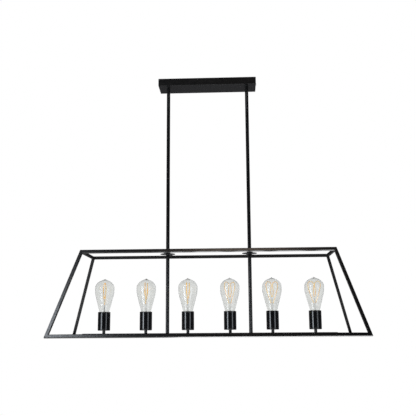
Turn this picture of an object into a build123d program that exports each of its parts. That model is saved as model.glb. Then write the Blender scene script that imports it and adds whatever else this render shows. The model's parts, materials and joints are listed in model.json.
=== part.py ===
from build123d import *

import os
from math import atan2, cos, degrees, hypot, sin

# Linear pendant: a tapered open cage of square tube hung on two rods, with six upright
# lamps on a bar. Millimetres, +Z up, +X along the pendant. The origin is the middle of
# the ceiling bracket's top face, so everything hangs below z = 0.

# ---- Driving dimensions ------------------------------------------------------------

# Cage, measured over its outer edges
CAGE_BOTTOM_LENGTH = 1000.0
CAGE_BOTTOM_DEPTH = 360.0
CAGE_TOP_LENGTH = 830.0
CAGE_TOP_DEPTH = 190.0
CAGE_HEIGHT = 280.0
TUBE_SIZE = 10.0
TUBE_WALL = 1.0
TUBE_CORNER = 0.9
STRAP_WIDTH = 20.0
STRAP_THICKNESS = 3.0
STRAP_RECESS = 3.0
DISC_DIAMETER = 50.0
DISC_THICKNESS = 1.5
DISC_EDGE = 0.4

# Canopy and ceiling bracket
CANOPY_LENGTH = 340.0
CANOPY_DEPTH = 80.0
CANOPY_HEIGHT = 25.0
CANOPY_SHEET = 1.2
CANOPY_CORNER = 2.0
CANOPY_FOLD = 0.7
BRACKET_WIDTH = 30.0
BRACKET_SHEET = 2.0
BRACKET_GAP = 0.5
TAB_DROP = 18.0
FIXING_SPACING = 120.0
SLOT_WIDTH = 5.0
SLOT_LENGTH = 12.0
FEED_HOLE = 14.0
SCREW_DROP = 12.5
SCREW_DIAMETER = 4.0
SCREW_LENGTH = 8.0
HEAD_DIAMETER = 7.5
HEAD_HEIGHT = 2.2
DRIVE_WIDTH = 1.0
DRIVE_DEPTH = 1.1
EARTH_SCREW_X = 95.0
LUG_THICKNESS = 0.8
LUG_DIAMETER = 8.0

# Terminal block
BLOCK_LENGTH = 18.0
BLOCK_WIDTH = 26.0
BLOCK_HEIGHT = 12.0
BLOCK_X = 35.0
BLOCK_EDGE = 1.0
POLE_PITCH = 8.0
CLAMP_DIAMETER = 4.4
CLAMP_LENGTH = 16.0
CLAMP_SCREW_DIAMETER = 2.6
CLAMP_SCREW_SPACING = 9.0

# Rods, hanger tubes and their threaded nipples
ROD_LENGTH = 583.0
ROD_SPACING = 276.0
ROD_DIAMETER = 12.0
ROD_WALL = 0.9
NIPPLE_DIAMETER = 10.0
NIPPLE_BORE = 7.0
NIPPLE_LENGTH = 22.0
NIPPLE_IN_ROD = 12.0
NUT_WIDTH = 14.0
NUT_HEIGHT = 3.0
NUT_MARGIN = 0.5
FLANGE_DIAMETER = 20.0
FLANGE_HEIGHT = 1.2

# Lamp bar
LAMP_COUNT = 6
LAMP_PITCH = 140.0
BAR_WIDTH = 20.0
BAR_HEIGHT = 14.0
BAR_WALL = 1.2
BAR_CORNER = 1.2
BAR_RISE = 11.0
CAP_PLATE = 1.5
CAP_PLUG = 6.0

# Lampholders
CUP_DIAMETER = 41.0
CUP_HEIGHT = 61.0
CUP_WALL = 1.6
CUP_FLOOR = 2.0
CUP_FOOT_ROUND = 2.5
CUP_RIM_ROUND = 0.7
CUP_LIFT = 9.5
INSERT_UNDERSIDE = 18.0
INSERT_FLOOR = 28.4
INSERT_HEIGHT = 55.0
INSERT_SKIRT = 3.6
SHELL_BORE = 27.2
SHELL_WALL = 0.4
SHELL_HEIGHT = 54.0
SHELL_LIP_BORE = 20.0
CONTACT_DIAMETER = 8.0
CONTACT_THICKNESS = 0.8
CONTACT_WIDTH = 3.0
TAIL_DIAMETER = 2.4
TAIL_END = 17.0
LIVE_TAIL_Y = 6.0
NEUTRAL_TAIL_Y = -12.0

# Bulbs, with heights above the underside of the cup
FOOT_LEVEL = 29.5
BUTTON_DIAMETER = 9.0
BUTTON_HEIGHT = 1.0
FOOT_SMALL_DIAMETER = 13.0
FOOT_LARGE_DIAMETER = 22.0
FOOT_HEIGHT = 5.0
FOOT_GAP = 0.3
THREAD_CREST_DIAMETER = 26.4
THREAD_ROOT_DIAMETER = 24.4
THREAD_PITCH = 3.629
THREAD_TURNS = 5
CAP_BORE = 23.4
SKIRT_DIAMETER = 27.8
SKIRT_BORE = 26.8
SKIRT_TOP = 57.5
NECK_DIAMETER = 22.8
NECK_LEVEL = 44.0
THROAT_DIAMETER = 26.2
COLLAR_DIAMETER = 31.8
COLLAR_LEVEL = 62.0
BULB_DIAMETER = 64.0
TAPER_LEVEL = 124.0
BELLY_LENGTH = 10.0
SHOULDER_LEVEL = 141.0
SHOULDER_RADIUS = 20.0
DOME_HEIGHT = 27.0
TIP_HEIGHT = 3.5
TIP_DIAMETER = 8.0
GLASS_WALL = 1.0
STEM_DIAMETER = 4.4
STEM_TOP = 103.0
PINCH_DIAMETER = 9.0
PINCH_TOP = 76.0
PINCH_HEIGHT = 8.0
FLARE_LEVEL = 47.0
EXHAUST_BORE = 2.0
FILAMENT_DIAMETER = 1.7
LEAD_DIAMETER = 0.8
FILAMENT_ANGLES = (82.0, 68.0, 58.0, 24.0, 4.0, -14.0)
# One side of the filament, as (distance from the axis, level), from its lead to the stem
FILAMENT_ROUTE = ((3.2, 86.0), (19.5, 148.0), (12.0, 155.5), (2.0, 146.0), (5.2, 127.0), (1.6, 108.0))
FILAMENT_RADII = (8.0, 5.0, 8.0, 25.0)

# Wires
WIRE_DIAMETER = 2.0
WIRE_Y = 2.4
WIRE_LEVEL_IN_BAR = 7.0
SPREAD_START_X = -40.0
SPREAD_END_X = -100.0
SPREAD_RADIUS = 20.0
ENTRY_RADIUS = 6.0
RISER_BEND_LEVEL = 9.0
RISER_TAIL_LEVEL = 14.5
RISER_RADIUS = 1.5
SPLICE_DIAMETER = 2.6
SPLICE_LENGTH = 8.0
EARTH_RUN = 20.0
EARTH_RADIUS = 4.0

# Clearances
THREAD_FIT = 0.05
HOLE_FIT = 0.2
SLIDE_FIT = 0.3

# ---- Levels and places worked out from them ----------------------------------------

STRAP_TOP_Z = -CANOPY_HEIGHT - ROD_LENGTH
STRAP_BOTTOM_Z = STRAP_TOP_Z - STRAP_THICKNESS
DISC_BOTTOM_Z = STRAP_BOTTOM_Z - DISC_THICKNESS
CAGE_TOP_Z = STRAP_TOP_Z + STRAP_RECESS
CAGE_BOTTOM_Z = CAGE_TOP_Z - CAGE_HEIGHT
BAR_TOP_Z = CAGE_BOTTOM_Z + BAR_RISE
BAR_INNER_TOP_Z = BAR_TOP_Z - BAR_WALL
BAR_FLOOR_Z = BAR_TOP_Z - BAR_HEIGHT + BAR_WALL
CUP_Z = BAR_TOP_Z + CUP_LIFT
CANOPY_FLOOR_Z = -CANOPY_HEIGHT + CANOPY_SHEET
WIRE_BAR_Z = BAR_TOP_Z - WIRE_LEVEL_IN_BAR
WIRE_CANOPY_Z = -BRACKET_SHEET - BLOCK_HEIGHT / 2

ROD_XS = (-ROD_SPACING / 2, ROD_SPACING / 2)
LAMP_XS = [(i - (LAMP_COUNT - 1) / 2) * LAMP_PITCH for i in range(LAMP_COUNT)]
BAR_LENGTH = LAMP_COUNT * LAMP_PITCH - 2 * CAP_PLATE

DEPTH_RUN = (CAGE_BOTTOM_DEPTH - CAGE_TOP_DEPTH) / 2
LENGTH_RUN = (CAGE_BOTTOM_LENGTH - CAGE_TOP_LENGTH) / 2
SIDE_TILT = atan2(DEPTH_RUN, CAGE_HEIGHT)
END_TILT = atan2(LENGTH_RUN, CAGE_HEIGHT)
SLOPE_HEIGHT = hypot(CAGE_HEIGHT, DEPTH_RUN)
POST_SLOPE = LENGTH_RUN / SLOPE_HEIGHT
POST_WIDTH = TUBE_SIZE * hypot(1, POST_SLOPE)

os.makedirs("parts", exist_ok=True)


def save(builder, node):
    """Label a finished piece and write it under its node's name."""
    builder.part.label = node
    export_step(builder.part, f"parts/{node}.step")
    print(f"{node}: {len(builder.part.solids())} solid(s), {builder.part.volume:.1f} mm3")


def copies(master, node, places):
    """Write one piece, repeated at several places, as one node of separate solids."""
    with BuildPart() as group:
        with Locations(*places):
            add(master.part)
    save(group, node)


# ---- Cage: two tilted side frames, joined by end rails and cross straps -------------


def side_plane(side):
    """Plane of a side frame's outer face, local Y up the slope and Z outward."""
    return Plane(
        origin=(0, side * CAGE_BOTTOM_DEPTH / 2, CAGE_BOTTOM_Z),
        x_dir=(-side, 0, 0),
        z_dir=(0, side * cos(SIDE_TILT), sin(SIDE_TILT)),
    )


def half_length(height):
    """Half the side frame's outer length at a height up its slope."""
    return CAGE_BOTTOM_LENGTH / 2 - POST_SLOPE * height


def mitred_tube(plane, start, finish, corners):
    """Square tube between two points of a plane, mitred at its corners.

    The points are on the tube's centre line. Each corner is the outer and the inner end
    of its mitre, in the same plane.
    """
    first = plane.from_local_coords(Vector(*start, -TUBE_SIZE / 2))
    last = plane.from_local_coords(Vector(*finish, -TUBE_SIZE / 2))
    along = (last - first).normalized()
    overrun = 2 * TUBE_SIZE
    with BuildPart() as member:
        with BuildSketch(Plane(origin=first - along * overrun, x_dir=plane.z_dir, z_dir=along)):
            RectangleRounded(TUBE_SIZE, TUBE_SIZE, TUBE_CORNER)
            Rectangle(TUBE_SIZE - 2 * TUBE_WALL, TUBE_SIZE - 2 * TUBE_WALL, mode=Mode.SUBTRACT)
        extrude(amount=(last - first).length + 2 * overrun)
        for outer, inner in corners:
            tip = plane.from_local_coords(Vector(*outer, 0))
            heel = plane.from_local_coords(Vector(*inner, 0))
            facing = (tip - heel).cross(plane.z_dir).normalized()
            if facing.dot((first + last) * 0.5 - tip) < 0:
                facing = facing * -1
            split(bisect_by=Plane(origin=tip, x_dir=plane.z_dir, z_dir=facing), keep=Keep.TOP)
    return member


def side_frame(side, name):
    """Four mitred members of the front or the back frame."""
    plane = side_plane(side)
    low, high = TUBE_SIZE / 2, SLOPE_HEIGHT - TUBE_SIZE / 2
    foot = (half_length(low) - POST_WIDTH / 2, low)
    head = (half_length(high) - POST_WIDTH / 2, high)
    foot_mitre = ((half_length(0), 0), (half_length(TUBE_SIZE) - POST_WIDTH, TUBE_SIZE))
    top, under = SLOPE_HEIGHT, SLOPE_HEIGHT - TUBE_SIZE
    head_mitre = ((half_length(top), top), (half_length(under) - POST_WIDTH, under))

    def mirrored(points):
        return tuple((-x, y) for x, y in points)

    foot_pair, head_pair = (foot_mitre, mirrored(foot_mitre)), (head_mitre, mirrored(head_mitre))
    save(mitred_tube(plane, (-foot[0], low), foot, foot_pair), f"{name}_bottom_rail")
    save(mitred_tube(plane, (-head[0], high), head, head_pair), f"{name}_top_rail")
    right_post = mitred_tube(plane, foot, head, (foot_mitre, head_mitre))
    left_mitres = (mirrored(foot_mitre), mirrored(head_mitre))
    left_post = mitred_tube(plane, (-foot[0], low), (-head[0], high), left_mitres)
    near, far = (left_post, right_post) if side < 0 else (right_post, left_post)
    save(near, f"{name}_left_post")
    save(far, f"{name}_right_post")


def between_frames(member):
    """Cut a member that runs front to back where it meets the two side frames."""
    with BuildPart() as cut:
        add(member.part)
        for side in (-1, 1):
            plane = side_plane(side)
            inner_face = Plane(
                origin=plane.origin - plane.z_dir * TUBE_SIZE, x_dir=plane.x_dir, z_dir=plane.z_dir * -1
            )
            split(bisect_by=inner_face, keep=Keep.TOP)
    return cut


def end_rail(end, edge_x, edge_z, upward):
    """Tilted square tube across one end, given its outer edge and where its body lies."""
    slope_x, slope_z = -end * sin(END_TILT), cos(END_TILT)
    out_x, out_z = end * cos(END_TILT), sin(END_TILT)
    half = TUBE_SIZE / 2
    centre = (
        end * edge_x + upward * half * slope_x - half * out_x,
        edge_z + upward * half * slope_z - half * out_z,
    )
    turn = degrees(END_TILT) * end
    with BuildPart() as member:
        with BuildSketch(Plane.XZ):
            with Locations(centre):
                RectangleRounded(TUBE_SIZE, TUBE_SIZE, TUBE_CORNER, rotation=turn)
                bore = TUBE_SIZE - 2 * TUBE_WALL
                Rectangle(bore, bore, rotation=turn, mode=Mode.SUBTRACT)
        extrude(amount=CAGE_BOTTOM_DEPTH / 2, both=True)
    return between_frames(member)


def end_rails(node, length, level, upward):
    """The two end rails at one level."""
    with BuildPart() as pair:
        for end in (-1, 1):
            add(end_rail(end, length / 2, level, upward).part)
    save(pair, node)


def cross_straps():
    """Flat straps between the top rails, each drilled for a rod's nipple."""
    with BuildPart() as straps:
        with BuildSketch(Plane.XY.offset(STRAP_BOTTOM_Z)):
            with Locations((ROD_XS[0], 0), (ROD_XS[1], 0)):
                Rectangle(STRAP_WIDTH, CAGE_BOTTOM_DEPTH)
                Circle(NIPPLE_DIAMETER / 2 + HOLE_FIT, mode=Mode.SUBTRACT)
        extrude(amount=STRAP_THICKNESS)
    save(between_frames(straps), "cross_straps")


def clamp_discs():
    """Round discs clamped under the straps."""
    with BuildPart() as discs:
        with BuildSketch(Plane.XY.offset(DISC_BOTTOM_Z)):
            with Locations((ROD_XS[0], 0), (ROD_XS[1], 0)):
                Circle(DISC_DIAMETER / 2)
                Circle(NIPPLE_DIAMETER / 2 + HOLE_FIT, mode=Mode.SUBTRACT)
        extrude(amount=DISC_THICKNESS)
        rims = discs.edges().filter_by(GeomType.CIRCLE).filter_by(lambda e: e.radius > DISC_DIAMETER / 4)
        fillet(rims, DISC_EDGE)
    save(discs, "clamp_discs")


# ---- Canopy, bracket and terminal block ---------------------------------------------


def canopy():
    """Folded box, open at the top, with a hole for each rod and one in each short end."""
    with BuildPart() as box:
        with BuildSketch(Plane.XY):
            RectangleRounded(CANOPY_LENGTH, CANOPY_DEPTH, CANOPY_CORNER)
        extrude(amount=-CANOPY_HEIGHT)
        fillet(box.faces().sort_by(Axis.Z)[0].edges(), CANOPY_FOLD)
        with BuildSketch(Plane.XY):
            length, depth = CANOPY_LENGTH - 2 * CANOPY_SHEET, CANOPY_DEPTH - 2 * CANOPY_SHEET
            RectangleRounded(length, depth, CANOPY_CORNER - CANOPY_SHEET / 2)
        extrude(amount=CANOPY_SHEET - CANOPY_HEIGHT, mode=Mode.SUBTRACT)
        with BuildSketch(Plane.XY.offset(-CANOPY_HEIGHT)):
            with Locations((ROD_XS[0], 0), (ROD_XS[1], 0)):
                Circle(NIPPLE_DIAMETER / 2 + HOLE_FIT)
        extrude(amount=CANOPY_SHEET, mode=Mode.SUBTRACT)
        with BuildSketch(Plane.YZ.offset(-CANOPY_LENGTH / 2)):
            with Locations((0, -SCREW_DROP)):
                Circle(SCREW_DIAMETER / 2 + HOLE_FIT)
        extrude(amount=CANOPY_LENGTH, mode=Mode.SUBTRACT)
    save(box, "canopy")


def ceiling_bracket():
    """Strap with two ceiling slots, a feed hole and a downturned tab at each end."""
    length = CANOPY_LENGTH - 2 * (CANOPY_SHEET + BRACKET_GAP)
    with BuildPart() as bracket:
        with BuildSketch(Plane.XY):
            Rectangle(length, BRACKET_WIDTH)
            with Locations((-FIXING_SPACING / 2, 0), (FIXING_SPACING / 2, 0)):
                SlotOverall(SLOT_LENGTH, SLOT_WIDTH, mode=Mode.SUBTRACT)
            Circle(FEED_HOLE / 2, mode=Mode.SUBTRACT)
            with Locations((EARTH_SCREW_X, 0)):
                Circle(SCREW_DIAMETER / 2 + THREAD_FIT, mode=Mode.SUBTRACT)
        extrude(amount=-BRACKET_SHEET)
        for end in (-1, 1):
            with BuildSketch(Plane.YZ.offset(end * length / 2)):
                with Locations((0, -TAB_DROP / 2)):
                    Rectangle(BRACKET_WIDTH, TAB_DROP)
                with Locations((0, -SCREW_DROP)):
                    Circle(SCREW_DIAMETER / 2 + THREAD_FIT, mode=Mode.SUBTRACT)
            extrude(amount=-end * BRACKET_SHEET)
    save(bracket, "ceiling_bracket")


def pan_screw(length):
    """Slotted pan head screw, its head above z = 0 and its shank below."""
    with BuildPart() as screw:
        with BuildSketch(Plane.XY):
            Circle(SCREW_DIAMETER / 2)
        extrude(amount=-length)
        with BuildSketch(Plane.XY):
            Circle(HEAD_DIAMETER / 2)
        extrude(amount=HEAD_HEIGHT)
        fillet(screw.faces().sort_by(Axis.Z)[-1].edges(), HEAD_HEIGHT / 2)
        with BuildSketch(Plane.XY.offset(HEAD_HEIGHT - DRIVE_DEPTH)):
            Rectangle(HEAD_DIAMETER, DRIVE_WIDTH)
        extrude(amount=DRIVE_DEPTH, mode=Mode.SUBTRACT)
    return screw


def bracket_screws():
    """Screw through each end of the canopy into the bracket, and the earth screw."""
    side_screw = pan_screw(SCREW_LENGTH)
    earth_screw = pan_screw(BRACKET_SHEET + LUG_THICKNESS - HOLE_FIT)
    face_x = CANOPY_LENGTH / 2
    with BuildPart() as screws:
        with Locations(Location((face_x, 0, -SCREW_DROP), (0, 90, 0))):
            add(side_screw.part)
        with Locations(Location((-face_x, 0, -SCREW_DROP), (0, -90, 0))):
            add(side_screw.part)
        with Locations(Location((EARTH_SCREW_X, 0, -BRACKET_SHEET - LUG_THICKNESS), (180, 0, 0))):
            add(earth_screw.part)
    save(screws, "bracket_screws")


def terminal_block():
    """Insulating block of three poles, fixed under the bracket, and its brass clamps."""
    pole_places = [(y, WIRE_CANOPY_Z) for y in (-POLE_PITCH, 0, POLE_PITCH)]
    base_z = -BRACKET_SHEET - BLOCK_HEIGHT
    screw_xs = (BLOCK_X - CLAMP_SCREW_SPACING / 2, BLOCK_X + CLAMP_SCREW_SPACING / 2)
    screw_places = [(x, y) for x in screw_xs for y, _ in pole_places]
    with BuildPart() as block:
        with BuildSketch(Plane.XY.offset(base_z)):
            with Locations((BLOCK_X, 0)):
                Rectangle(BLOCK_LENGTH, BLOCK_WIDTH)
        extrude(amount=BLOCK_HEIGHT)
        fillet(block.edges().filter_by(Axis.Z), BLOCK_EDGE)
        with BuildSketch(Plane.YZ.offset(BLOCK_X - BLOCK_LENGTH / 2)):
            with Locations(*pole_places):
                Circle(CLAMP_DIAMETER / 2 + THREAD_FIT)
        extrude(amount=BLOCK_LENGTH, mode=Mode.SUBTRACT)
        with BuildSketch(Plane.XY.offset(base_z)):
            with Locations(*screw_places):
                Circle(CLAMP_SCREW_DIAMETER / 2 + HOLE_FIT)
        extrude(amount=BLOCK_HEIGHT / 2, mode=Mode.SUBTRACT)
    save(block, "terminal_block")

    with BuildPart() as clamps:
        with BuildSketch(Plane.YZ.offset(BLOCK_X - CLAMP_LENGTH / 2)):
            with Locations(*pole_places):
                Circle(CLAMP_DIAMETER / 2)
                Circle(WIRE_DIAMETER / 2 + HOLE_FIT, mode=Mode.SUBTRACT)
        extrude(amount=CLAMP_LENGTH)
    save(clamps, "terminal_clamps")

    screw_top = WIRE_CANOPY_Z - CLAMP_DIAMETER / 2
    with BuildPart() as screws:
        with BuildSketch(Plane.XY.offset(base_z + DRIVE_DEPTH)):
            with Locations(*screw_places):
                Circle(CLAMP_SCREW_DIAMETER / 2)
        extrude(amount=screw_top - base_z - DRIVE_DEPTH)
        with BuildSketch(Plane.XY.offset(base_z + DRIVE_DEPTH)):
            with Locations(*screw_places):
                Rectangle(DRIVE_WIDTH / 2, CLAMP_SCREW_DIAMETER)
        extrude(amount=DRIVE_DEPTH / 2, mode=Mode.SUBTRACT)
    save(screws, "terminal_screws")


# ---- Rods, hangers, nipples and nuts -------------------------------------------------


def round_tube(x, bottom_z, top_z, node):
    """Upright round tube of the rods' section."""
    with BuildPart() as tube:
        with BuildSketch(Plane.XY.offset(bottom_z)):
            with Locations((x, 0)):
                Circle(ROD_DIAMETER / 2)
                Circle(ROD_DIAMETER / 2 - ROD_WALL, mode=Mode.SUBTRACT)
        extrude(amount=top_z - bottom_z)
    save(tube, node)


def nipple(length):
    """Hollow threaded nipple, standing on z = 0, drawn at its thread's outer diameter."""
    with BuildPart() as piece:
        Cylinder(NIPPLE_DIAMETER / 2, length, align=(Align.CENTER, Align.CENTER, Align.MIN))
        chamfer(piece.edges().filter_by(GeomType.CIRCLE), NUT_MARGIN)
        with BuildSketch(Plane.XY):
            Circle(NIPPLE_BORE / 2)
        extrude(amount=length, mode=Mode.SUBTRACT)
    return piece


def nut(flange=0.0):
    """Thin hexagon nut standing on z = 0, with an optional flange under it."""
    with BuildPart() as piece:
        if flange:
            with BuildSketch(Plane.XY):
                Circle(FLANGE_DIAMETER / 2)
            extrude(amount=flange)
        with BuildSketch(Plane.XY.offset(flange)):
            RegularPolygon(NUT_WIDTH / 2, 6, major_radius=False)
        extrude(amount=NUT_HEIGHT - flange)
        with BuildSketch(Plane.XY):
            Circle(NIPPLE_DIAMETER / 2 + THREAD_FIT)
        extrude(amount=NUT_HEIGHT, mode=Mode.SUBTRACT)
    return piece


def hanging_hardware():
    """Rods and hangers, the nipples that join them, and the nuts at both ends."""
    for x, side in zip(ROD_XS, ("left", "right")):
        round_tube(x, STRAP_TOP_Z, -CANOPY_HEIGHT, f"{side}_rod")
        round_tube(x, BAR_TOP_Z, DISC_BOTTOM_Z, f"{side}_hanger")
    bar_nut_z = BAR_INNER_TOP_Z - NUT_HEIGHT
    nipple_levels = (
        -CANOPY_HEIGHT - NIPPLE_IN_ROD,
        (STRAP_TOP_Z + DISC_BOTTOM_Z - NIPPLE_LENGTH) / 2,
        bar_nut_z - NUT_MARGIN,
    )
    copies(nipple(NIPPLE_LENGTH), "tube_nipples", [(x, 0, z) for x in ROD_XS for z in nipple_levels])
    copies(nut(FLANGE_HEIGHT), "canopy_nuts", [(x, 0, CANOPY_FLOOR_Z) for x in ROD_XS])
    copies(nut(), "bar_nuts", [(x, 0, bar_nut_z) for x in (*ROD_XS, *LAMP_XS)])


# ---- Lamp bar ------------------------------------------------------------------------


def lamp_bar():
    """Rectangular tube under the lamps, drilled for the stems and hangers."""
    centre_z = BAR_TOP_Z - BAR_HEIGHT / 2
    bore = (BAR_WIDTH - 2 * BAR_WALL, BAR_HEIGHT - 2 * BAR_WALL)
    with BuildPart() as bar:
        with BuildSketch(Plane.YZ.offset(-BAR_LENGTH / 2)):
            with Locations((0, centre_z)):
                RectangleRounded(BAR_WIDTH, BAR_HEIGHT, BAR_CORNER)
                Rectangle(*bore, mode=Mode.SUBTRACT)
        extrude(amount=BAR_LENGTH)
        with BuildSketch(Plane.XY.offset(BAR_TOP_Z)):
            with Locations(*[(x, 0) for x in (*ROD_XS, *LAMP_XS)]):
                Circle(NIPPLE_DIAMETER / 2 + HOLE_FIT)
        extrude(amount=-BAR_HEIGHT / 2, mode=Mode.SUBTRACT)
    save(bar, "lamp_bar")

    with BuildPart() as caps:
        for end in (-1, 1):
            with BuildSketch(Plane.YZ.offset(end * BAR_LENGTH / 2)):
                with Locations((0, centre_z)):
                    RectangleRounded(BAR_WIDTH, BAR_HEIGHT, BAR_CORNER)
            extrude(amount=end * CAP_PLATE)
            with BuildSketch(Plane.YZ.offset(end * BAR_LENGTH / 2)):
                with Locations((0, centre_z)):
                    Rectangle(bore[0] - 2 * HOLE_FIT, bore[1] - 2 * HOLE_FIT)
            extrude(amount=-end * CAP_PLUG)
    save(caps, "bar_end_caps")


# ---- Lampholders, each drawn with the underside of its cup at z = 0 -------------------


def holder_cup():
    """Plain cylindrical cup with a drilled floor and rounded edges."""
    with BuildPart() as cup:
        Cylinder(CUP_DIAMETER / 2, CUP_HEIGHT, align=(Align.CENTER, Align.CENTER, Align.MIN))
        fillet(cup.faces().sort_by(Axis.Z)[0].edges(), CUP_FOOT_ROUND)
        with BuildSketch(Plane.XY.offset(CUP_FLOOR)):
            Circle(CUP_DIAMETER / 2 - CUP_WALL)
        extrude(amount=CUP_HEIGHT, mode=Mode.SUBTRACT)
        fillet(cup.faces().sort_by(Axis.Z)[-1].edges(), CUP_RIM_ROUND)
        with BuildSketch(Plane.XY):
            Circle(NIPPLE_DIAMETER / 2 + HOLE_FIT)
        extrude(amount=CUP_FLOOR, mode=Mode.SUBTRACT)
    return cup


def porcelain_insert():
    """Insulating body on a skirt, with a well for the screw shell and two wire holes."""
    outer = CUP_DIAMETER / 2 - CUP_WALL - SLIDE_FIT
    skirt = outer - INSERT_SKIRT
    well = SHELL_BORE / 2 + SHELL_WALL + THREAD_FIT
    with BuildPart() as body:
        with BuildSketch(Plane.XZ):
            with BuildLine():
                Polyline(
                    (0, INSERT_UNDERSIDE), (skirt, INSERT_UNDERSIDE), (skirt, CUP_FLOOR), (outer, CUP_FLOOR),
                    (outer, INSERT_HEIGHT), (well, INSERT_HEIGHT), (well, INSERT_FLOOR), (0, INSERT_FLOOR),
                    close=True,
                )
            make_face()
        revolve(axis=Axis.Z)
        with BuildSketch(Plane.XY.offset(INSERT_UNDERSIDE)):
            with Locations((0, LIVE_TAIL_Y), (0, NEUTRAL_TAIL_Y)):
                Circle(TAIL_DIAMETER / 2 + HOLE_FIT)
        extrude(amount=INSERT_FLOOR - INSERT_UNDERSIDE, mode=Mode.SUBTRACT)
    return body


def terminal_tail(y):
    """Terminal tail that passes down through the porcelain."""
    with BuildPart() as tail:
        with BuildSketch(Plane.XY.offset(TAIL_END)):
            with Locations((0, y)):
                Circle(TAIL_DIAMETER / 2)
        extrude(amount=INSERT_FLOOR - TAIL_END + SHELL_WALL)
    return tail


def screw_shell():
    """Brass screw shell on the well's floor, with a lip and a terminal tail."""
    outer = SHELL_BORE / 2 + SHELL_WALL
    tail = terminal_tail(NEUTRAL_TAIL_Y)
    with BuildPart() as shell:
        with BuildSketch(Plane.XY.offset(INSERT_FLOOR)):
            Circle(outer)
            Circle(SHELL_LIP_BORE / 2, mode=Mode.SUBTRACT)
        extrude(amount=SHELL_WALL)
        with BuildSketch(Plane.XY.offset(INSERT_FLOOR)):
            Circle(outer)
            Circle(SHELL_BORE / 2, mode=Mode.SUBTRACT)
        extrude(amount=SHELL_HEIGHT - INSERT_FLOOR)
        add(tail.part)
    return shell


def centre_contact():
    """Contact tongue under the bulb's foot, with its terminal tail."""
    tail = terminal_tail(LIVE_TAIL_Y)
    with BuildPart() as contact:
        with BuildSketch(Plane.XY.offset(INSERT_FLOOR)):
            Circle(CONTACT_DIAMETER / 2)
            with Locations((0, LIVE_TAIL_Y / 2)):
                SlotOverall(LIVE_TAIL_Y + CONTACT_WIDTH, CONTACT_WIDTH, rotation=90)
        extrude(amount=CONTACT_THICKNESS)
        add(tail.part)
    return contact


def lampholders():
    """Six holders, each kind of piece as one node."""
    places = [(x, 0, CUP_Z) for x in LAMP_XS]
    stem_low = BAR_INNER_TOP_Z - NUT_HEIGHT - NUT_MARGIN
    stem_high = CUP_Z + CUP_FLOOR + NUT_HEIGHT + NUT_MARGIN
    copies(nipple(stem_high - stem_low), "holder_stems", [(x, 0, stem_low) for x in LAMP_XS])
    copies(nut(), "holder_nuts", [(x, 0, CUP_Z + CUP_FLOOR) for x in LAMP_XS])
    copies(holder_cup(), "holder_cups", places)
    copies(porcelain_insert(), "porcelain_inserts", places)
    copies(screw_shell(), "screw_shells", places)
    copies(centre_contact(), "centre_contacts", places)


# ---- Bulbs, drawn in the same frame as their cup --------------------------------------


def bent_wire(points, radii, diameter):
    """Round wire along straight runs joined by tangent arcs."""
    with BuildPart() as run:
        with BuildLine() as route:
            FilletPolyline(*points, radius=radii)
        path = route.wires()[0]
        with BuildSketch(Plane(origin=path @ 0, z_dir=path % 0)):
            Circle(diameter / 2)
        sweep(path=path)
    return run


def bulb_foot():
    """Contact button and the insulating cone around it."""
    cone_z = FOOT_LEVEL + BUTTON_HEIGHT
    top_z = FOOT_LEVEL + FOOT_HEIGHT
    with BuildPart() as foot:
        with BuildSketch(Plane.XZ):
            with BuildLine():
                Polyline(
                    (0, FOOT_LEVEL), (BUTTON_DIAMETER / 2, FOOT_LEVEL), (BUTTON_DIAMETER / 2, cone_z),
                    (FOOT_SMALL_DIAMETER / 2, cone_z), (FOOT_LARGE_DIAMETER / 2, top_z), (0, top_z),
                    close=True,
                )
            make_face()
        revolve(axis=Axis.Z)
    return foot


def bulb_cap():
    """Rolled screw cap: the thread's crests and roots as rings, then a flared skirt."""
    start = FOOT_LEVEL + FOOT_HEIGHT + FOOT_GAP
    crest, root = THREAD_CREST_DIAMETER / 2, THREAD_ROOT_DIAMETER / 2
    middle = (crest + root) / 2
    half = THREAD_PITCH / 2
    thread_end = start + THREAD_TURNS * THREAD_PITCH
    skirt_start = thread_end + half
    with BuildPart() as cap:
        with BuildSketch(Plane.XZ):
            with BuildLine():
                for i in range(2 * THREAD_TURNS):
                    low = start + i * half
                    bulge = root if i % 2 else crest
                    ThreePointArc((middle, low), (bulge, low + half / 2), (middle, low + half))
                Polyline(
                    (middle, thread_end), (SKIRT_DIAMETER / 2, skirt_start), (SKIRT_DIAMETER / 2, SKIRT_TOP),
                    (SKIRT_BORE / 2, SKIRT_TOP), (SKIRT_BORE / 2, skirt_start + half / 2),
                    (CAP_BORE / 2, thread_end), (CAP_BORE / 2, start), (middle, start),
                )
            make_face()
        revolve(axis=Axis.Z)
    return cap


def envelope_wall(inset):
    """Envelope's tapered side and two-radius dome, moved in by inset, for the open line block."""
    wide, collar_x = BULB_DIAMETER / 2 - inset, COLLAR_DIAMETER / 2 - inset
    slope = hypot(wide - collar_x, TAPER_LEVEL - COLLAR_LEVEL) / BELLY_LENGTH
    collar = (collar_x, COLLAR_LEVEL)
    taper = (wide - (wide - collar_x) / slope, TAPER_LEVEL - (TAPER_LEVEL - COLLAR_LEVEL) / slope)
    belly = (wide, TAPER_LEVEL + BELLY_LENGTH)
    side = Line(collar, taper)
    TangentArc(taper, belly, tangent=side % 1)
    Line(belly, (wide, SHOULDER_LEVEL))
    rise, shoulder = DOME_HEIGHT - inset, SHOULDER_RADIUS - inset
    reach = wide - shoulder
    crown = (reach**2 + rise**2 - shoulder**2) / (2 * (rise - shoulder))
    turn = degrees(atan2(crown - rise, reach))
    CenterArc((reach, SHOULDER_LEVEL), shoulder, 0, turn)
    CenterArc((0, SHOULDER_LEVEL + rise - crown), crown, turn, 90 - turn)
    return collar, (0, SHOULDER_LEVEL + rise)


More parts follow.
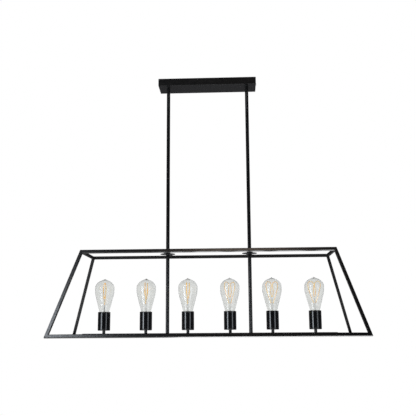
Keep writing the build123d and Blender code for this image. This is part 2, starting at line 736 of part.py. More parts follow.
def bulb_glass():
    """Envelope with its drawn tip, and the inner stem with its exhaust bore and side hole."""
    neck, throat = NECK_DIAMETER / 2, THROAT_DIAMETER / 2
    pinch, stem = PINCH_DIAMETER / 2, STEM_DIAMETER / 2
    with BuildPart() as glass:
        with BuildSketch(Plane.XZ):
            with BuildLine():
                collar, top = envelope_wall(0)
                Polyline(top, (0, NECK_LEVEL), (neck, NECK_LEVEL), (neck, SKIRT_TOP - 4), (throat, SKIRT_TOP))
                Line((throat, SKIRT_TOP), collar)
            make_face()
        revolve(axis=Axis.Z)
        with BuildSketch(Plane.XZ):
            with BuildLine():
                base = SHOULDER_LEVEL + DOME_HEIGHT - GLASS_WALL / 2
                tip = base + GLASS_WALL / 2 + TIP_HEIGHT
                Polyline(
                    (0, base), (TIP_DIAMETER / 2, base), (TIP_DIAMETER / 4, base + TIP_HEIGHT / 2), (0, tip),
                    close=True,
                )
            make_face()
        revolve(axis=Axis.Z)
        with BuildSketch(Plane.XZ):
            with BuildLine():
                collar, top = envelope_wall(GLASS_WALL)
                Polyline(
                    top, (0, STEM_TOP), (stem, STEM_TOP - stem), (stem, PINCH_TOP), (pinch, PINCH_TOP),
                    (pinch, PINCH_TOP - PINCH_HEIGHT), (neck - GLASS_WALL, FLARE_LEVEL),
                    (neck - GLASS_WALL, SKIRT_TOP - 4), (throat - GLASS_WALL, SKIRT_TOP), collar,
                )
            make_face()
        revolve(axis=Axis.Z, mode=Mode.SUBTRACT)
        with BuildSketch(Plane.XZ):
            with BuildLine():
                Polyline(
                    (0, NECK_LEVEL), (neck - GLASS_WALL, NECK_LEVEL),
                    (pinch - GLASS_WALL, PINCH_TOP - PINCH_HEIGHT), (0, PINCH_TOP - PINCH_HEIGHT), close=True,
                )
            make_face()
        revolve(axis=Axis.Z, mode=Mode.SUBTRACT)
        side_hole = PINCH_TOP + EXHAUST_BORE
        with BuildSketch(Plane.XY.offset(FLARE_LEVEL)):
            Circle(EXHAUST_BORE / 2)
        extrude(amount=side_hole - FLARE_LEVEL, mode=Mode.SUBTRACT)
        with BuildSketch(Plane.XZ):
            with Locations((0, side_hole)):
                Circle(EXHAUST_BORE * 0.4)
        extrude(amount=PINCH_DIAMETER, mode=Mode.SUBTRACT)
    return glass


def bulb_filament():
    """Looped filament in one piece with its two leads and the support on the stem."""
    lead_x = (STEM_DIAMETER + PINCH_DIAMETER) / 4
    foot_x, foot_z = FILAMENT_ROUTE[0]
    top_x, top_z = FILAMENT_ROUTE[-1]
    runs = []
    for side in (-1, 1):
        loop = [(side * x, 0, z) for x, z in FILAMENT_ROUTE]
        runs.append(bent_wire(loop, FILAMENT_RADII, FILAMENT_DIAMETER))
    with BuildPart() as filament:
        for run in runs:
            add(run.part)
        with BuildSketch(Plane.XY.offset(PINCH_TOP)):
            with Locations((-lead_x, 0), (lead_x, 0)):
                Circle(LEAD_DIAMETER / 2)
        extrude(amount=foot_z - PINCH_TOP + FILAMENT_DIAMETER)
        with BuildSketch(Plane.XY.offset(STEM_TOP)):
            Circle(LEAD_DIAMETER / 2)
        extrude(amount=top_z - STEM_TOP + FILAMENT_DIAMETER)
        with BuildSketch(Plane.YZ.offset(-top_x)):
            with Locations((0, top_z + FILAMENT_DIAMETER / 2)):
                Circle(LEAD_DIAMETER / 2)
        extrude(amount=2 * top_x)
    return filament


def bulbs():
    """Six bulbs, each in four nodes, with each filament at its own angle."""
    pieces = {"foot": bulb_foot(), "cap": bulb_cap(), "glass": bulb_glass(), "filament": bulb_filament()}
    for number, (x, angle) in enumerate(zip(LAMP_XS, FILAMENT_ANGLES), start=1):
        for kind, piece in pieces.items():
            turn = angle if kind == "filament" else 0
            copies(piece, f"bulb_{number}_{kind}", [Location((x, 0, CUP_Z), (0, 0, turn))])


# ---- Wires ----------------------------------------------------------------------------


def feed_route(pole_y, wire_y, end_z):
    """Route from a pole of the terminal block to the left rod and down to a level."""
    x, z = ROD_XS[0], WIRE_CANOPY_Z
    start = (BLOCK_X - CLAMP_SCREW_SPACING / 2, pole_y, z)
    if pole_y == wire_y:
        return [start, (x, wire_y, z), (x, wire_y, end_z)], [ENTRY_RADIUS]
    spread = [(SPREAD_START_X, pole_y, z), (SPREAD_END_X, wire_y, z)]
    points = [start, *spread, (x, wire_y, z), (x, wire_y, end_z)]
    return points, [SPREAD_RADIUS, SPREAD_RADIUS, ENTRY_RADIUS]


def lamp_wire(pole_y, wire_y, tail_y, node):
    """Live or neutral wire: down the left rod and along the bar, spliced to each holder."""
    radius = WIRE_DIAMETER / 2
    feed_points, feed_radii = feed_route(pole_y, wire_y, WIRE_BAR_Z)
    feed = bent_wire(feed_points, feed_radii, WIRE_DIAMETER)
    riser_points = [
        (0, wire_y, WIRE_BAR_Z), (0, wire_y, CUP_Z + RISER_BEND_LEVEL),
        (0, tail_y, CUP_Z + RISER_TAIL_LEVEL), (0, tail_y, CUP_Z + TAIL_END),
    ]
    riser = bent_wire(riser_points, (RISER_RADIUS, RISER_RADIUS), WIRE_DIAMETER)
    splice_xs = sorted([ROD_XS[0], *LAMP_XS])
    with BuildPart() as wire:
        for x in splice_xs:
            with BuildSketch(Plane.YZ.offset(x - SPLICE_LENGTH / 2)):
                with Locations((wire_y, WIRE_BAR_Z)):
                    Circle(SPLICE_DIAMETER / 2)
            extrude(amount=SPLICE_LENGTH)
        for left, right in zip(splice_xs, splice_xs[1:]):
            with BuildSketch(Plane.YZ.offset(left + WIRE_DIAMETER)):
                with Locations((wire_y, WIRE_BAR_Z)):
                    Circle(radius)
            extrude(amount=right - left - 2 * WIRE_DIAMETER)
        add(feed.part)
        with Locations(*[(x, 0, 0) for x in LAMP_XS]):
            add(riser.part)
    save(wire, node)


def earth_wire():
    """Earth wire to the lamp bar, and a short link to the screw on the bracket."""
    radius = WIRE_DIAMETER / 2
    floor_z = BAR_FLOOR_Z + radius
    lug_z = -BRACKET_SHEET - LUG_THICKNESS
    points, radii = feed_route(0, 0, floor_z)
    points.append((ROD_XS[0] + EARTH_RUN, 0, floor_z))
    feed = bent_wire(points, [*radii, EARTH_RADIUS], WIRE_DIAMETER)
    start_x = BLOCK_X + CLAMP_SCREW_SPACING / 2
    bend_x = (start_x + EARTH_SCREW_X) / 2
    lug_x = EARTH_SCREW_X - LUG_DIAMETER
    link_z = lug_z - radius / 2
    link_points = [
        (start_x, 0, WIRE_CANOPY_Z), (bend_x, 0, WIRE_CANOPY_Z),
        (lug_x, 0, link_z), (EARTH_SCREW_X - LUG_DIAMETER / 2, 0, link_z),
    ]
    link = bent_wire(link_points, (EARTH_RADIUS, EARTH_RADIUS), WIRE_DIAMETER)
    with BuildPart() as wire:
        add(feed.part)
        add(link.part)
        with BuildSketch(Plane.XY.offset(lug_z)):
            with Locations((EARTH_SCREW_X, 0)):
                Circle(LUG_DIAMETER / 2)
            with Locations((EARTH_SCREW_X - LUG_DIAMETER * 3 / 4, 0)):
                Rectangle(LUG_DIAMETER * 3 / 4, WIRE_DIAMETER + LUG_THICKNESS)
            with Locations((EARTH_SCREW_X, 0)):
                Circle(SCREW_DIAMETER / 2 + HOLE_FIT, mode=Mode.SUBTRACT)
        extrude(amount=LUG_THICKNESS)
    save(wire, "earth_wire")


# ---- Build -----------------------------------------------------------------------------

side_frame(-1, "front")
side_frame(1, "back")
end_rails("top_end_rails", CAGE_TOP_LENGTH, CAGE_TOP_Z, upward=-1)
end_rails("bottom_end_rails", CAGE_BOTTOM_LENGTH, CAGE_BOTTOM_Z, upward=1)
cross_straps()
clamp_discs()
canopy()
ceiling_bracket()
bracket_screws()
terminal_block()
hanging_hardware()
lamp_bar()
lampholders()
bulbs()
lamp_wire(POLE_PITCH, WIRE_Y, LIVE_TAIL_Y, "live_wire")
lamp_wire(-POLE_PITCH, -WIRE_Y, NEUTRAL_TAIL_Y, "neutral_wire")
earth_wire()
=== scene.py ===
import json
import math

import bmesh
import bpy
from mathutils import Matrix, Vector


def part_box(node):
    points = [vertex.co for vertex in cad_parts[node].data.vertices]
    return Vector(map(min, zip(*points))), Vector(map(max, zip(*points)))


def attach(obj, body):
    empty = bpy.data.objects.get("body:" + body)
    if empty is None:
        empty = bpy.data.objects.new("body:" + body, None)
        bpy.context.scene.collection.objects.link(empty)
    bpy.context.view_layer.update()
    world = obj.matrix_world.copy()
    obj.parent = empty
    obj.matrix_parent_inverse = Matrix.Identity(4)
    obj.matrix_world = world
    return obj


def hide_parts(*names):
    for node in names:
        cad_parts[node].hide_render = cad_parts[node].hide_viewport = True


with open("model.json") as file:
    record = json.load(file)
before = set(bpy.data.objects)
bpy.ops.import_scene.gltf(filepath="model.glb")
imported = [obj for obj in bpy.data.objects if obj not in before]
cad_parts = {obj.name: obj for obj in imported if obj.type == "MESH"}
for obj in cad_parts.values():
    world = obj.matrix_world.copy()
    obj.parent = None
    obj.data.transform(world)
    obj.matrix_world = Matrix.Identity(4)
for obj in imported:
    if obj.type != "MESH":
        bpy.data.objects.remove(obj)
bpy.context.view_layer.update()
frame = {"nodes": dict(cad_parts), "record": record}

# Linear pendant with six filament bulbs. Metres, +Z up, the ceiling plane at z = 0.

MM = 0.001

LAMPS = (1, 2, 3, 4, 5, 6)


# ---- Node helpers --------------------------------------------------------------------

# A noise texture seldom leaves this range, so colours and values are spread over it
NOISE_LOW, NOISE_HIGH = 0.3, 0.7


class Graph:
    """The nodes of a material or a world, added and linked by short calls."""

    def __init__(self, tree):
        self.nodes = tree.nodes
        self.links = tree.links

    def node(self, kind, **settings):
        """A new node. A setting sets the socket of that name, with _ for a space, or else the property."""
        made = self.nodes.new("ShaderNode" + kind)
        for key, value in settings.items():
            socket = key.replace("_", " ")
            if socket in made.inputs:
                made.inputs[socket].default_value = value
            else:
                setattr(made, key, value)
        return made

    def link(self, source, output, target, socket):
        self.links.new(source.outputs[output], target.inputs[socket])

    def ramp(self, *stops):
        """A colour ramp between two stops of (position, colour)."""
        ramp = self.node("ValToRGB")
        for element, (position, colour) in zip(ramp.color_ramp.elements, stops):
            element.position = position
            element.color = (*colour, 1)
        return ramp


class Shader(Graph):
    """A node material with a principled surface, built up by named values and textures."""

    def __init__(self, name, **values):
        self.material = bpy.data.materials.new(name)
        self.material.use_nodes = True
        super().__init__(self.material.node_tree)
        self.surface = self.nodes["Principled BSDF"]
        for socket, value in values.items():
            self.surface.inputs[socket.replace("_", " ")].default_value = value

    def noise(self, scale, detail=3.0, stretch=(1, 1, 1)):
        """Noise over the object's own metres, stretched along the axes."""
        coordinates = self.node("TexCoord")
        mapping = self.node("Mapping", Scale=stretch)
        texture = self.node("TexNoise", Scale=scale, Detail=detail)
        self.link(coordinates, "Object", mapping, "Vector")
        self.link(mapping, "Vector", texture, "Vector")
        return texture

    def tint(self, texture, dark, light):
        """Base colour that wanders between two colours with a texture."""
        ramp = self.ramp((NOISE_LOW, dark), (NOISE_HIGH, light))
        self.link(texture, "Fac", ramp, "Fac")
        self.link(ramp, "Color", self.surface, "Base Color")

    def vary(self, socket, texture, low, high):
        """A value of the surface that wanders between low and high with a texture."""
        spread = self.node("MapRange", From_Min=NOISE_LOW, From_Max=NOISE_HIGH, To_Min=low, To_Max=high)
        self.link(texture, "Fac", spread, "Value")
        self.link(spread, "Result", self.surface, socket)

    def bump(self, texture, distance, strength):
        """Relief of a texture, with its distance in metres."""
        relief = self.node("Bump", Strength=strength, Distance=distance)
        self.link(texture, "Fac", relief, "Height")
        self.link(relief, "Normal", self.surface, "Normal")


# ---- Materials -----------------------------------------------------------------------


def satin_paint():
    """Black powder coat: faint orange peel, and a sheen that differs a little from spot to spot."""
    shader = Shader("satin_black_paint", IOR=1.5)
    shader.tint(shader.noise(9.0), (0.0028, 0.0028, 0.003), (0.0048, 0.0046, 0.0052))
    shader.vary("Roughness", shader.noise(160.0), 0.18, 0.24)
    shader.bump(shader.noise(900.0, detail=2.0), 0.00002, 0.1)
    return shader.material


def gloss_paint():
    """Glossier black of the turned holder cups, with a very fine ripple."""
    shader = Shader("gloss_black_paint", IOR=1.62)
    shader.tint(shader.noise(20.0), (0.0024, 0.0027, 0.0032), (0.004, 0.0043, 0.005))
    shader.vary("Roughness", shader.noise(60.0), 0.12, 0.17)
    shader.bump(shader.noise(400.0, detail=1.0), 0.00002, 0.2)
    return shader.material


def plated_steel():
    """Zinc-plated steel with fine drawn lines."""
    shader = Shader("plated_steel", Metallic=1.0)
    grain = shader.noise(60.0, stretch=(1, 30, 30))
    shader.tint(grain, (0.5, 0.5, 0.52), (0.68, 0.68, 0.69))
    shader.vary("Roughness", grain, 0.25, 0.42)
    shader.bump(grain, 0.00003, 0.4)
    return shader.material


def brass():
    """Lightly tarnished rolled brass."""
    shader = Shader("rolled_brass", Metallic=1.0)
    stain = shader.noise(140.0)
    shader.tint(stain, (0.52, 0.36, 0.14), (0.8, 0.6, 0.28))
    shader.vary("Roughness", stain, 0.22, 0.4)
    return shader.material


def porcelain():
    """Glazed off-white porcelain."""
    shader = Shader("glazed_porcelain", IOR=1.5, Coat_Weight=0.6, Coat_Roughness=0.08)
    cloud = shader.noise(90.0)
    shader.tint(cloud, (0.74, 0.71, 0.64), (0.83, 0.81, 0.76))
    shader.vary("Roughness", cloud, 0.25, 0.35)
    return shader.material


def plastic(name, dark, light):
    """Moulded plastic or wire insulation, with a fine spark-eroded grain."""
    shader = Shader(name, IOR=1.46)
    shader.tint(shader.noise(120.0), dark, light)
    shader.vary("Roughness", shader.noise(300.0), 0.39, 0.51)
    shader.bump(shader.noise(2500.0), 0.00002, 0.5)
    return shader.material


def clear_glass():
    """Clear blown glass, faintly grey-green, with a slow ripple in its surface."""
    shader = Shader("clear_glass", Roughness=0.0, IOR=1.47, Transmission_Weight=1.0)
    shader.tint(shader.noise(15.0), (0.82, 0.83, 0.82), (0.865, 0.87, 0.86))
    shader.bump(shader.noise(45.0, detail=0.0), 0.0003, 0.22)
    return shader.material


def phosphor():
    """Amber phosphor coat of the unlit filament. A faint glow is painted light: it brightens the coat, though
    the filament is no lamp.
    """
    shader = Shader(
        "amber_phosphor",
        Roughness=0.5,
        Subsurface_Weight=0.4,
        Subsurface_Radius=(0.004, 0.002, 0.001),
        # Painted light: this emission makes the unlit coat glow
        Emission_Color=(1.0, 0.58, 0.13, 1),
        Emission_Strength=0.25,
    )
    shader.tint(shader.noise(500.0), (0.68, 0.38, 0.06), (0.76, 0.46, 0.09))
    return shader.material


def foot_glass():
    """Black vitrite of the contact foot."""
    shader = Shader("black_vitrite", IOR=1.55)
    shader.tint(shader.noise(200.0), (0.004, 0.004, 0.005), (0.012, 0.012, 0.014))
    shader.vary("Roughness", shader.noise(300.0), 0.08, 0.18)
    return shader.material


GLOSS = gloss_paint()
STEEL = plated_steel()
GLASS = clear_glass()
PHOSPHOR = phosphor()

BY_SLOT = {
    "black_paint": satin_paint(),
    "plated_steel": STEEL,
    "brass": brass(),
    "block_plastic": plastic("terminal_plastic", (0.66, 0.66, 0.63), (0.76, 0.76, 0.73)),
    "porcelain": porcelain(),
    "live_insulation": plastic("brown_insulation", (0.1, 0.035, 0.012), (0.15, 0.055, 0.02)),
    "neutral_insulation": plastic("blue_insulation", (0.01, 0.06, 0.3), (0.02, 0.09, 0.4)),
    "earth_insulation": plastic("green_insulation", (0.05, 0.22, 0.02), (0.08, 0.3, 0.04)),
    "foot_insulator": foot_glass(),
    "clear_glass": GLASS,
    "filament": PHOSPHOR,
}


def finish_nodes():
    """Every carried-over node gets the material of its slot."""
    slots = {part["node"]: part["material_slot"] for part in frame["record"]["subparts"]}
    for node, obj in frame["nodes"].items():
        for slot in obj.material_slots:
            slot.material = BY_SLOT[slots[node]]


# ---- Lathed and bent pieces ----------------------------------------------------------

SEGMENTS = 72
# A ring with a radius below this, in millimetres, is a point on the axis
ON_AXIS = 1e-6
SHARP_EDGE = 50.0
THREAD_PITCH = 3.629
BEVEL_RESOLUTION, CURVE_RESOLUTION = 4, 10


def new_object(name, data, material, body):
    """Put a finished mesh or curve in the scene, riding on a body."""
    data.materials.append(material)
    obj = bpy.data.objects.new(name, data)
    bpy.context.collection.objects.link(obj)
    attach(obj, body)
    return obj


def add_ring(mesh_data, centre, radius, height, depth=0.0):
    """One ring of a turned form, or its single point on the axis. Depth is that of a helical thread."""
    x, level = centre
    z = level + height * MM
    if radius < ON_AXIS:
        return [mesh_data.verts.new((x, 0, z))]
    ring = []
    for i in range(SEGMENTS):
        angle = 2 * math.pi * i / SEGMENTS
        reach = (radius + depth * math.cos(2 * math.pi * height / THREAD_PITCH - angle)) * MM
        ring.append(mesh_data.verts.new((x + reach * math.cos(angle), reach * math.sin(angle), z)))
    return ring


def add_band(mesh_data, low, high):
    """Faces between two rings: a fan where one is a point, and none between two points."""
    for i in range(SEGMENTS):
        j = (i + 1) % SEGMENTS
        corners = [low[i % len(low)], low[j % len(low)], high[j % len(high)], high[i % len(high)]]
        face = list(dict.fromkeys(corners))
        if len(face) > 2:
            mesh_data.faces.new(face)


def lathe(outlines, *centres):
    """Mesh turned from closed outlines of (radius, height[, thread depth]) in mm, at each (x, level)."""
    mesh_data = bmesh.new()
    for centre in centres:
        for outline in outlines:
            rings = [add_ring(mesh_data, centre, *point) for point in outline]
            for low, high in zip(rings, rings[1:] + rings[:1]):
                add_band(mesh_data, low, high)
    bmesh.ops.recalc_face_normals(mesh_data, faces=mesh_data.faces)
    mesh = bpy.data.meshes.new("lathed")
    mesh_data.to_mesh(mesh)
    mesh_data.free()
    mesh.shade_smooth()
    mesh.set_sharp_from_angle(angle=math.radians(SHARP_EDGE))
    return mesh


def arc(centre, radius, start, end, steps):
    """Points of a circular arc in the (radius, height) plane, angles in degrees."""
    points = []
    for i in range(steps + 1):
        angle = math.radians(start + (end - start) * i / steps)
        points.append((centre[0] + radius * math.cos(angle), centre[1] + radius * math.sin(angle)))
    return points


def bent_wire(points, thickness, order=4):
    """Smooth round wire, so many mm thick, on a spline through the frame's points, ends included."""
    curve = bpy.data.curves.new("wire", "CURVE")
    curve.dimensions = "3D"
    curve.bevel_depth = thickness * MM / 2
    curve.bevel_resolution = BEVEL_RESOLUTION
    curve.resolution_u = CURVE_RESOLUTION
    curve.use_fill_caps = True
    spline = curve.splines.new("NURBS")
    spline.points.add(len(points) - 1)
    for point, place in zip(spline.points, points):
        point.co = (*place, 1)
    spline.order_u = order
    spline.use_endpoint_u = True
    return curve


# ---- Lampholder cups -----------------------------------------------------------------

CUP_RADIUS, CUP_HEIGHT, CUP_WALL, CUP_FLOOR, CUP_HOLE = 20.5, 61.0, 1.6, 2.0, 5.2
CUP_FOOT_ROUND = 2.5
FOOT_STEPS, LIP_STEPS = 6, 8
GROOVE_DEPTH, GROOVE_WIDTH = 0.35, 1.0
GROOVE_HEIGHTS = (4.6, 57.4)
# Across and into the groove, with a ring on the plain wall at each side to keep its shading straight
GROOVE_SHAPE = ((-1.3, 0), (-1, 0), (-0.5, 0.8), (0, 1), (0.5, 0.8), (1, 0), (1.3, 0))


def cup_outline():
    """Wall of a turned cup with rounded edges and a fine groove near its foot and its rim."""
    points = [(CUP_HOLE, CUP_FLOOR), (CUP_HOLE, 0)]
    points += arc((CUP_RADIUS - CUP_FOOT_ROUND, CUP_FOOT_ROUND), CUP_FOOT_ROUND, -90, 0, FOOT_STEPS)
    for height in GROOVE_HEIGHTS:
        for across, inward in GROOVE_SHAPE:
            points.append((CUP_RADIUS - inward * GROOVE_DEPTH, height + across * GROOVE_WIDTH / 2))
    lip = CUP_WALL / 2
    points += arc((CUP_RADIUS - lip, CUP_HEIGHT - lip), lip, 0, 180, LIP_STEPS)
    points.append((CUP_RADIUS - CUP_WALL, CUP_FLOOR))
    return points


def make_cups():
    """The six cups, evenly spaced over the length of the solids that they replace."""
    low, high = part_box("holder_cups")
    first, last = low.x + CUP_RADIUS * MM, high.x - CUP_RADIUS * MM
    pitch = (last - first) / (len(LAMPS) - 1)
    centres = [(first + pitch * i, low.z) for i in range(len(LAMPS))]
    cups = new_object("turned_cups", lathe([cup_outline()], *centres), GLOSS, "fixture")
    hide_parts("holder_cups")


# ---- Bulbs ---------------------------------------------------------------------------

# Envelope, with heights in millimetres above the glass's lower end, which is inside the screw cap
WALL = 1.0
NECK_RADIUS, NECK_TOP = 11.4, 9.5
THROAT_RADIUS, THROAT_TOP = 13.1, 13.5
COLLAR_RADIUS, COLLAR_HEIGHT = 15.9, 18.0
WIDE_RADIUS, TAPER_HEIGHT = 32.0, 80.0
BELLY_LENGTH = 10.0
SHOULDER_HEIGHT, SHOULDER_RADIUS = 97.0, 20.0
DOME_HEIGHT = 27.0
TIP_HEIGHT, TIP_ROOT, TIP_SHARPNESS = 3.5, 7.0, 2.0
TAPER_STEPS, BELLY_STEPS, SHOULDER_STEPS, CROWN_STEPS, TIP_STEPS = 10, 5, 8, 12, 8

# Inner stem: a hollow flare in the neck, pinched shut, then a rod with a button on top
FLARE_HEIGHT, FLARE_WALL, FLARE_EDGE = 3.0, 0.9, 0.6
WAIST_RADIUS, WAIST_HEIGHT = 4.3, 9.0
HOLLOW_RADIUS, HOLLOW_HEIGHT, HOLLOW_TOP = 1.6, 12.0, 14.0
PINCH_LOW, PINCH_HIGH, PINCH_RADIUS = 15.0, 23.0, 2.8
PINCH_TOP_RADIUS, PINCH_ROUND, PINCH_TAPER = 2.6, 1.5, 3.0
STEM_RADIUS, STEM_TOP = 2.0, 58.0
BUTTON_RADIUS, BUTTON_LENGTH, BUTTON_BEVEL, BUTTON_CROWN = 3.0, 4.0, 0.6, 0.4

# Screw cap, with heights above its lower edge
CAP_BORE, CAP_FOOT_RADIUS, CAP_HEIGHT = 11.7, 12.0, 22.7
CREST_RADIUS, THREAD_DEPTH = 13.2, 0.5
THREAD_TURNS, THREAD_STEPS = 5, 8
SKIRT_RADIUS, SKIRT_LOW, SKIRT_WALL, SKIRT_STEP, RIM_ROUND = 13.9, 20.2, 0.5, 2.0, 0.2
# In and down from the skirt's lower edge, from the thread's end up to it
SKIRT_FLARE = ((1.2, 1.4), (0.3, 0.5))

# One half of the filament as (across, height, depth), from its lead to the middle support.
# The other half is the same one turned half round the stem.
FILAMENT_THICKNESS = 1.8
HALF_FILAMENT = (
    (3.4, 42.0, 0.5), (10.0, 60.0, 3.0), (19.0, 88.0, 4.5), (21.0, 105.0, 4.5), (16.5, 113.5, 2.5),
    (7.0, 113.0, -1.0), (-0.6, 103.5, -4.0), (3.6, 90.0, -4.5), (4.6, 76.0, -3.5), (1.4, 62.5, -0.5),
)
# How far each bulb happens to be turned, in degrees
FILAMENT_TURNS = (99.0, 74.0, 68.0, 22.0, 4.0, -14.0)
HALF_TURN = 180.0

# A lead passes the pinch by its reach at both ends, and runs into its strand by the overlap
LEAD_THICKNESS, LEAD_REACH, LEAD_OVERLAP = 0.5, 4.0, 1.5
LEAD_LOW_OFFSET, LEAD_HIGH_OFFSET = 2.2, 2.4
# The support is rooted this deep in the stem, and bends this far below the strands' ends
SUPPORT_ROOT, SUPPORT_BEND = 2.0, 2.0


def envelope_outline(inset):
    """Outer face of the envelope from its neck to the top of its dome, moved in by inset."""
    neck, throat = NECK_RADIUS - inset, THROAT_RADIUS - inset
    collar, wide = COLLAR_RADIUS - inset, WIDE_RADIUS - inset
    taper = TAPER_HEIGHT - COLLAR_HEIGHT
    run = math.hypot(wide - collar, taper)
    lean = math.atan2(wide - collar, taper)
    belly = BELLY_LENGTH / math.tan(lean / 2)
    points = [(neck, 0), (neck, NECK_TOP), (throat, THROAT_TOP)]
    for i in range(TAPER_STEPS + 1):
        share = i / TAPER_STEPS * (1 - BELLY_LENGTH / run)
        points.append((collar + (wide - collar) * share, COLLAR_HEIGHT + taper * share))
    points += arc((wide - belly, TAPER_HEIGHT + BELLY_LENGTH), belly, -math.degrees(lean), 0, BELLY_STEPS)[1:]
    shoulder, rise = SHOULDER_RADIUS - inset, DOME_HEIGHT - inset
    reach = wide - shoulder
    crown = (reach**2 + rise**2 - shoulder**2) / (2 * (rise - shoulder))
    turn = math.degrees(math.atan2(crown - rise, reach))
    points += arc((reach, SHOULDER_HEIGHT), shoulder, 0, turn, SHOULDER_STEPS)
    points += arc((0, SHOULDER_HEIGHT + rise - crown), crown, turn, 90, CROWN_STEPS)[1:]
    return points


def drawn_tip(points):
    """The outline with its dome's last points drawn up into a small concave tip."""
    below = [point for point in points if point[0] > TIP_ROOT or point[1] < SHOULDER_HEIGHT]
    root, top = below[-1], points[-1][1]
    for i in range(1, TIP_STEPS + 1):
        share = 1 - i / TIP_STEPS
        dome = top - (top - root[1]) * share**2
        below.append((root[0] * share, dome + TIP_HEIGHT * (1 - share) ** TIP_SHARPNESS))
    return below


def stem_outline():
    """The inner stem from its flare up to the button's top, then down inside the flare."""
    flare = NECK_RADIUS - WALL
    points = [(flare, FLARE_HEIGHT), (WAIST_RADIUS, WAIST_HEIGHT), (PINCH_RADIUS, PINCH_LOW)]
    points += [(PINCH_RADIUS, PINCH_HIGH - PINCH_ROUND), (PINCH_TOP_RADIUS, PINCH_HIGH)]
    points += [(STEM_RADIUS, PINCH_HIGH + PINCH_TAPER), (STEM_RADIUS, STEM_TOP - BUTTON_LENGTH)]
    points += [(BUTTON_RADIUS, STEM_TOP - BUTTON_LENGTH / 2)]
    points += [(BUTTON_RADIUS - BUTTON_BEVEL, STEM_TOP - BUTTON_CROWN), (0, STEM_TOP)]
    points += [(0, HOLLOW_TOP), (HOLLOW_RADIUS, HOLLOW_HEIGHT)]
    points += [(flare - FLARE_WALL, FLARE_HEIGHT - FLARE_EDGE)]
    return points


def cap_outline():
    """Rolled screw cap with its helical thread, flared into a plain skirt that grips the glass."""
    steps = THREAD_STEPS * THREAD_TURNS
    points = [(CAP_BORE, 0), (CAP_FOOT_RADIUS, 0)]
    for i in range(1, steps + 1):
        fade = min(1.0, i / THREAD_STEPS, (steps - i) / THREAD_STEPS)
        points.append((CREST_RADIUS - THREAD_DEPTH, i * THREAD_PITCH / THREAD_STEPS, THREAD_DEPTH * fade))
    for inward, drop in SKIRT_FLARE:
        points.append((SKIRT_RADIUS - inward, SKIRT_LOW - drop))
    inside = SKIRT_RADIUS - SKIRT_WALL
    points += [(SKIRT_RADIUS, SKIRT_LOW), (SKIRT_RADIUS, CAP_HEIGHT - RIM_ROUND)]
    points += [(SKIRT_RADIUS - RIM_ROUND, CAP_HEIGHT), (inside, CAP_HEIGHT)]
    points += [(inside, SKIRT_LOW), (CAP_BORE, SKIRT_LOW - SKIRT_STEP)]
    return points


def lead_route():
    """The lead of one half of the filament, from inside the flare up into the strand's foot."""
    across, height, depth = HALF_FILAMENT[0]
    low = (LEAD_LOW_OFFSET, PINCH_LOW - LEAD_REACH, 0)
    high = (LEAD_HIGH_OFFSET, PINCH_HIGH + LEAD_REACH, 0)
    return [low, high, (across, height + LEAD_OVERLAP, depth)]


def support_route():
    """The wire from the button up to the ends of both strands, which it holds."""
    across, height, depth = HALF_FILAMENT[-1]
    ends = [(-across, height, -depth), (across, height, depth)]
    return [(0, STEM_TOP - SUPPORT_ROOT, 0), (0, height - SUPPORT_BEND, 0), *ends]


def turned(points, centre, turn):
    """Points (across, height, depth) of a bulb turned round its axis by degrees, as the frame's points."""
    x, level = centre
    cos, sin = math.cos(math.radians(turn)), math.sin(math.radians(turn))
    places = []
    for across, height, depth in points:
        right, back = across * cos - depth * sin, across * sin + depth * cos
        places.append((x + right * MM, back * MM, level + height * MM))
    return places


def make_glass(number, centre):
    """Envelope and inner stem. Clear glass lets the light through, so it casts no shadow."""
    body = f"bulb_{number}"
    outer, inner = drawn_tip(envelope_outline(0)), envelope_outline(WALL)
    mesh = lathe([outer + inner[::-1], stem_outline()], centre)
    glass = new_object(f"{body}_envelope", mesh, GLASS, body)
    glass.visible_shadow = False
    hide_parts(f"bulb_{number}_glass")


def make_screw_cap(number, x):
    """Threaded cap round the neck, centred on x."""
    body = f"bulb_{number}"
    cap_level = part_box(f"bulb_{number}_cap")[0].z
    mesh = lathe([cap_outline()], (x, cap_level))
    cap = new_object(f"{body}_screw_cap", mesh, STEEL, body)
    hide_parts(f"bulb_{number}_cap")


def make_filament(number, centre, turn):
    """Two coated strands in loops, each on its lead, and the support that holds their ends."""
    body = f"bulb_{number}"
    for side, side_turn in (("left", turn + HALF_TURN), ("right", turn)):
        name = f"{body}_strand_{side}"
        strand = bent_wire(turned(HALF_FILAMENT, centre, side_turn), FILAMENT_THICKNESS)
        new_object(name, strand, PHOSPHOR, body)
        lead = bent_wire(turned(lead_route(), centre, side_turn), LEAD_THICKNESS, order=3)
        new_object(f"{name}_lead", lead, STEEL, body)
    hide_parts(f"bulb_{number}_filament")
    support = bent_wire(turned(support_route(), centre, turn), LEAD_THICKNESS, order=3)
    new_object(f"{body}_support", support, STEEL, body)


def make_bulbs():
    """The six bulbs, each where its solid glass stands."""
    for number, turn in zip(LAMPS, FILAMENT_TURNS):
        low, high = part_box(f"bulb_{number}_glass")
        x, level = (low.x + high.x) / 2, low.z
        make_glass(number, (x, level))
        make_screw_cap(number, x)
        make_filament(number, (x, level), turn)


# ---- Studio --------------------------------------------------------------------------

CAMERA_PLACE = Vector((0.0905, -2.2023, -0.8723))
CAMERA_TURN_LEFT = 2.375
CAMERA_PITCH_UP = 10.732
CAMERA_ROLL = -0.38
SENSOR_WIDTH = 36.0
FOCAL_LENGTH = 56.79
CLIP_NEAR, CLIP_FAR = 0.05, 50.0

FLOOR_LEVEL = -2.6
FLOOR_SIZE = 7.0

# How far the white of the world replaces the dim room for matt surfaces
SOFT_LIGHT = 0.75
# The room that glossy surfaces mirror, from in front of the pendant (0) to behind it (1)
ROOM_TONES = ((0.3, (0.02, 0.02, 0.022)), (0.85, (0.12, 0.12, 0.127)))

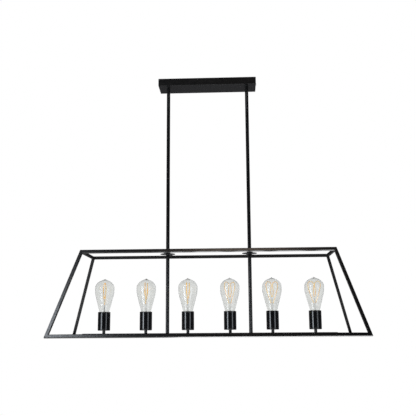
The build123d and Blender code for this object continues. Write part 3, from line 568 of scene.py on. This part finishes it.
BULB_ROW = (0, 0, -0.8)
FRONT_SIDE = (0, -0.1, -0.7)
COOL, NEUTRAL, WARM = (0.86, 0.93, 1.0), (1, 1, 1), (1.0, 0.82, 0.68)
# Name, place, aim, (width, height), watts and colour. Each box stands where some faces mirror it.
SOFT_BOXES = (
    # Upright at each side: their highlights run down the cups, bulbs and hangers
    ("left_box", (-1.58, -1.55, -1.25), BULB_ROW, (0.7, 1.7), 27, COOL),
    ("right_box", (1.58, -1.55, -1.25), BULB_ROW, (0.7, 1.7), 10, COOL),
    # High on the left, far in front: in the left third of the front side's sloping faces
    ("high_left_box", (-3.1, -5.8, 3.15), FRONT_SIDE, (2.1, 0.7), 62, COOL),
    # High in front: in the middle of the front top rail
    ("high_front_box", (0.15, -3.1, 2.25), FRONT_SIDE, (0.9, 0.55), 6.5, WARM),
    # Low behind: in the undersides of the top rails
    ("low_back_box", (0.45, 1.48, -2.2), FRONT_SIDE, (1.6, 0.6), 10, NEUTRAL),
)


def make_camera():
    """The photograph's viewpoint."""
    data = bpy.data.cameras.new("camera")
    data.sensor_width = SENSOR_WIDTH
    data.lens = FOCAL_LENGTH
    data.clip_start = CLIP_NEAR
    data.clip_end = CLIP_FAR
    camera = bpy.data.objects.new("camera", data)
    turn = Matrix.Rotation(math.radians(CAMERA_TURN_LEFT), 4, "Z")
    pitch = Matrix.Rotation(math.radians(90 + CAMERA_PITCH_UP), 4, "X")
    roll = Matrix.Rotation(math.radians(CAMERA_ROLL), 4, "Z")
    camera.matrix_world = Matrix.Translation(CAMERA_PLACE) @ turn @ pitch @ roll
    bpy.context.collection.objects.link(camera)
    bpy.context.scene.camera = camera


def make_world():
    """White to the eye and mostly so to matt surfaces; glossy ones mirror a dim room."""
    world = bpy.data.worlds.new("studio")
    world.use_nodes = True
    world.node_tree.nodes.clear()
    graph = Graph(world.node_tree)

    direction = graph.node("TexCoord")
    parts = graph.node("SeparateXYZ")
    spread = graph.node("MapRange", From_Min=-1.0)
    tones = graph.ramp(*ROOM_TONES)
    room = graph.node("Background")
    graph.link(direction, "Generated", parts, "Vector")
    graph.link(parts, "Y", spread, "Value")
    graph.link(spread, "Result", tones, "Fac")
    graph.link(tones, "Color", room, "Color")

    rays = graph.node("LightPath")
    seen = graph.node("Math", operation="MAXIMUM")
    lit = graph.node("Math", operation="MULTIPLY_ADD")
    lit.inputs[1].default_value = SOFT_LIGHT
    graph.link(rays, "Is Camera Ray", seen, 0)
    graph.link(rays, "Is Transmission Ray", seen, 1)
    graph.link(rays, "Is Diffuse Ray", lit, 0)
    graph.link(seen, "Value", lit, 2)

    white = graph.node("Background", Color=(1, 1, 1, 1))
    blend = graph.node("MixShader")
    output = graph.node("OutputWorld")
    graph.link(lit, "Value", blend, "Fac")
    graph.link(room, "Background", blend, 1)
    graph.link(white, "Background", blend, 2)
    graph.link(blend, "Shader", output, "Surface")
    bpy.context.scene.world = world


def make_floor():
    """Plain pale floor far below the pendant."""
    half = FLOOR_SIZE / 2
    corners = [(x, y, FLOOR_LEVEL) for x, y in ((-half, -half), (half, -half), (half, half), (-half, half))]
    mesh = bpy.data.meshes.new("floor")
    mesh.from_pydata(corners, [], [(0, 1, 2, 3)])
    shader = Shader("pale_floor", Roughness=0.7)
    shader.tint(shader.noise(3.0), (0.84, 0.84, 0.84), (0.88, 0.88, 0.88))
    mesh.materials.append(shader.material)
    floor = bpy.data.objects.new("floor", mesh)
    bpy.context.collection.objects.link(floor)


def make_soft_box(name, place, aim, size, watts, colour):
    """Rectangular light at a place, facing the point it aims at."""
    data = bpy.data.lights.new(name, "AREA")
    data.shape = "RECTANGLE"
    data.size, data.size_y = size
    data.energy = watts
    data.color = colour
    light = bpy.data.objects.new(name, data)
    light.location = place
    light.rotation_mode = "QUATERNION"
    light.rotation_quaternion = (Vector(aim) - Vector(place)).to_track_quat("-Z", "Y")
    light.visible_camera = False
    light.visible_transmission = False
    bpy.context.collection.objects.link(light)


def make_studio():
    """Camera, world, floor and soft boxes."""
    make_camera()
    make_world()
    make_floor()
    for box in SOFT_BOXES:
        make_soft_box(*box)


bpy.context.scene.view_settings.view_transform = "Standard"
finish_nodes()
make_cups()
make_bulbs()
make_studio()
